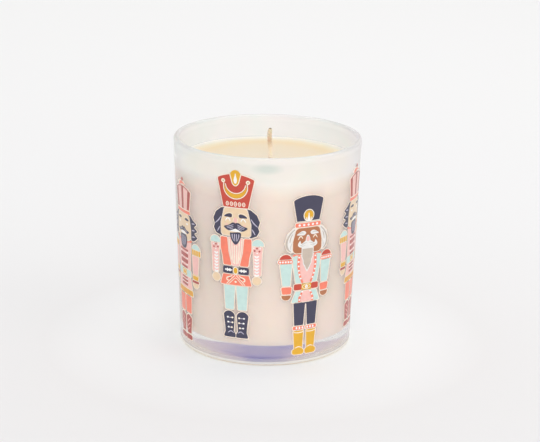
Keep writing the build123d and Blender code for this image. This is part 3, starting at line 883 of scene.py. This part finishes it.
def draw_striped_hat():
    sheet = Drawing("striped_hat_soldier", soles=5.3, places=(0, 3))
    # hat
    sheet.line("cream", [(1.3, 62.8), (1.45, 72.3)], 0.26, both=True)
    sheet.line("cream", [(3.75, 62.8), (4.9, 71.6)], 0.26, both=True)
    sheet.line("cream", [(-5.9, 62.3), (0, 62.15), (5.9, 62.3)], 0.42)
    sheet.line("dark_red", [(-7.0, 71.0), (-4.2, 72.2), (0, 72.9), (4.2, 72.2), (7.0, 71.0)], 0.34, over=2)
    # head
    for y in (57.2, 54.05, 51.0):
        sheet.line("lilac", [(7.9, y - 0.2), (8.9, y), (10.1, y + 0.1)], [0.25, 0.6, 0.25], both=True)
    sheet.spot("white", 3.9, 55.8, 0.65, 0.5, both=True)
    smile = [(-3.3, 50.95), (-1.7, 50.95), (0, 51.2), (1.7, 50.95), (3.3, 50.95)]
    sheet.line("white", smile, [0.2, 0.8, 1.5, 0.8, 0.2])
    sheet.line("cream", [(1.3, 57.3), (1.6, 58.4), (3.5, 58.9), (5.9, 58.0)], 0.24, both=True)
    sheet.line("lilac", [(0.55, 49.6), (0.65, 47.2), (0.45, 44.9)], [0.35, 0.4, 0.2], over=2, both=True)
    sheet.line("lilac", [(1.8, 49.5), (1.95, 47.4), (1.3, 45.4)], [0.35, 0.4, 0.2], over=2, both=True)
    sheet.line("lilac", [(0.9, 53.0), (2.2, 52.4), (3.8, 51.9)], [0.15, 0.3, 0.2], over=2, both=True)
    # coat
    for x, y in ((3.2, 42.0), (2.75, 39.25), (2.6, 36.1), (2.3, 29.0), (2.3, 27.3)):
        sheet.spot("white", x, y, 0.5, 0.36, both=True)
    for y in (29.0, 27.35):
        sheet.line("cream", [(-1.9, y), (0, y), (1.9, y)], 0.24)
    sheet.ring("cream", 0, 32.3, 1.85, 1.0, 0.32, over=2)
    for k in range(-4, 5):
        sheet.line("coral", [(1.45 * k, 22.3), (1.4 * k, 24.0)], [0.3, 0.2])
    sheet.line("cream", [(7.3, 30.5), (11.7, 30.5)], 0.24, both=True)
    sheet.line("cream", [(7.6, 32.6), (9.5, 32.75), (11.4, 32.6)], 0.26, both=True)
    # boots
    for low, high, foot, top in ((1.5, 3.9, 8.3, 10.5), (1.45, 4.0, 6.1, 8.3), (1.6, 3.6, 4.2, 6.0)):
        middle = (low + high) / 2
        swirl = [(low, foot), (middle, (foot + top) / 2 + 0.15), (high, top)]
        sheet.line("pink", swirl, [0.2, 0.55, 0.25], both=True)
    sheet.line("cream", [(0.55, 11.4), (2.93, 12.45), (5.3, 11.4)], 0.4, both=True)
    sheet.line("cream", [(0.8, 2.7), (2.7, 2.85), (4.6, 2.7)], 0.34, both=True)
    return sheet


# The same enamel as the films, in each stroke's own colour.
stroke_looks = {ink: enamel(f"{ink}_stroke", rgb) for ink, (slot, rgb) in STROKE_INKS.items()}


def build_strokes():
    for sheet in (draw_red_hat(), draw_navy_hat(), draw_striped_hat()):
        sheet.lay()


# ---------------------------------------------------------------- stage, light and camera


FLOOR_SIZE = 6.0
FALLOFF_DEPTHS = (-0.35, 1.1)  # painted light falloff: the floor turns from pale grey to white between these two depths
# how far the painted pool of light round the candle reaches
LIGHT_POOL_REACH = 2.6 * base_radius
WORLD_STRENGTH = 0.80


def build_stage():
    """A pale floor with painted light: lighter towards the back, and a painted pool of light right round the
    candle.
    """
    mesh = bpy.data.meshes.new("studio_floor")
    half = FLOOR_SIZE / 2
    corners = [(-half, -half, 0), (half, -half, 0), (half, half, 0), (-half, half, 0)]
    mesh.from_pydata(corners, [], [(0, 1, 2, 3)])
    floor = add_object("studio_floor", mesh)
    look = Surface("pale_floor")
    look.set(Roughness=0.75, Specular_IOR_Level=0.2)
    # painted light falloff: darker at the front, lighter at the back
    painted_falloff = look.ramp(
        look.share(look.axis("Y"), *FALLOFF_DEPTHS),
        (0.0, (227, 226, 227)), (0.4, (241, 241, 242)), (1.0, (255, 255, 255)),
    )
    # a painted pool of light round the base, standing for light through the clear base; it also lightens the
    # candle's shadow
    near = look.share(look.radius(), LIGHT_POOL_REACH, base_radius)
    look.base(look.mix(near, painted_falloff, (250, 253, 255)))
    mesh.materials.append(look.material)


def area_light(name, place, target, size, power, tint):
    """A round softbox aimed at a point, with its size in metres and its power in watts."""
    light = bpy.data.lights.new(name, "AREA")
    light.shape = "DISK"
    light.size = size
    light.energy = power
    light.color = colour(tint)[:3]
    lamp = add_object(name, light)
    lamp.location = place
    aim = Vector(target) - Vector(place)
    lamp.rotation_euler = aim.to_track_quat("-Z", "Y").to_euler()


def build_light():
    """White surroundings and three softboxes."""
    world = bpy.data.worlds.new("studio")
    bpy.context.scene.world = world
    world.use_nodes = True
    background = world.node_tree.nodes["Background"]
    background.inputs["Color"].default_value = (1.0, 1.0, 1.0, 1.0)
    background.inputs["Strength"].default_value = WORLD_STRENGTH
    centre = (0, 0, height / 2)
    area_light("overhead_softbox", (0.1, 0.35, 1.3), centre, size=1.1, power=3.2, tint=(255, 252, 248))
    area_light("right_softbox", (1.2, -0.6, 0.8), centre, size=0.9, power=1.6, tint=(255, 250, 246))
    area_light("front_softbox", (0.1, -1.6, 0.75), centre, size=1.2, power=7.8, tint=(255, 254, 252))


def build_camera():
    """The fitted view: a long lens, 17.5 degrees above the table, turned by fractions of a degree."""
    elevation = math.radians(17.4725)
    yaw = math.radians(-0.11734)
    pitch = math.radians(0.54605)
    roll = math.radians(-0.78789)
    distance = 18.0166 * rim_radius
    target = Vector((0, 0, height / 2))
    eye = target + distance * Vector((0, -math.cos(elevation), math.sin(elevation)))
    forward = (target - eye).normalized()
    right = forward.cross(Vector((0, 0, 1))).normalized()
    up = right.cross(forward)
    turn = Matrix.Rotation(yaw, 3, up)
    forward, right = turn @ forward, turn @ right
    turn = Matrix.Rotation(pitch, 3, right)
    forward, up = turn @ forward, turn @ up
    turn = Matrix.Rotation(roll, 3, forward)
    right, up = turn @ right, turn @ up
    camera = bpy.data.cameras.new("camera")
    camera.sensor_width = 36
    camera.lens = 111.1545
    camera.clip_start = 0.05
    holder = add_object("camera", camera)
    holder.matrix_world = Matrix((
        (right.x, up.x, -forward.x, eye.x),
        (right.y, up.y, -forward.y, eye.y),
        (right.z, up.z, -forward.z, eye.z),
        (0, 0, 0, 1),
    ))
    bpy.context.scene.camera = holder


build_camera()
build_light()
build_stage()
build_glass()
build_wax()
build_wick()
dress_cad_nodes()
build_strokes()
bpy.context.scene.view_settings.view_transform = "Standard"
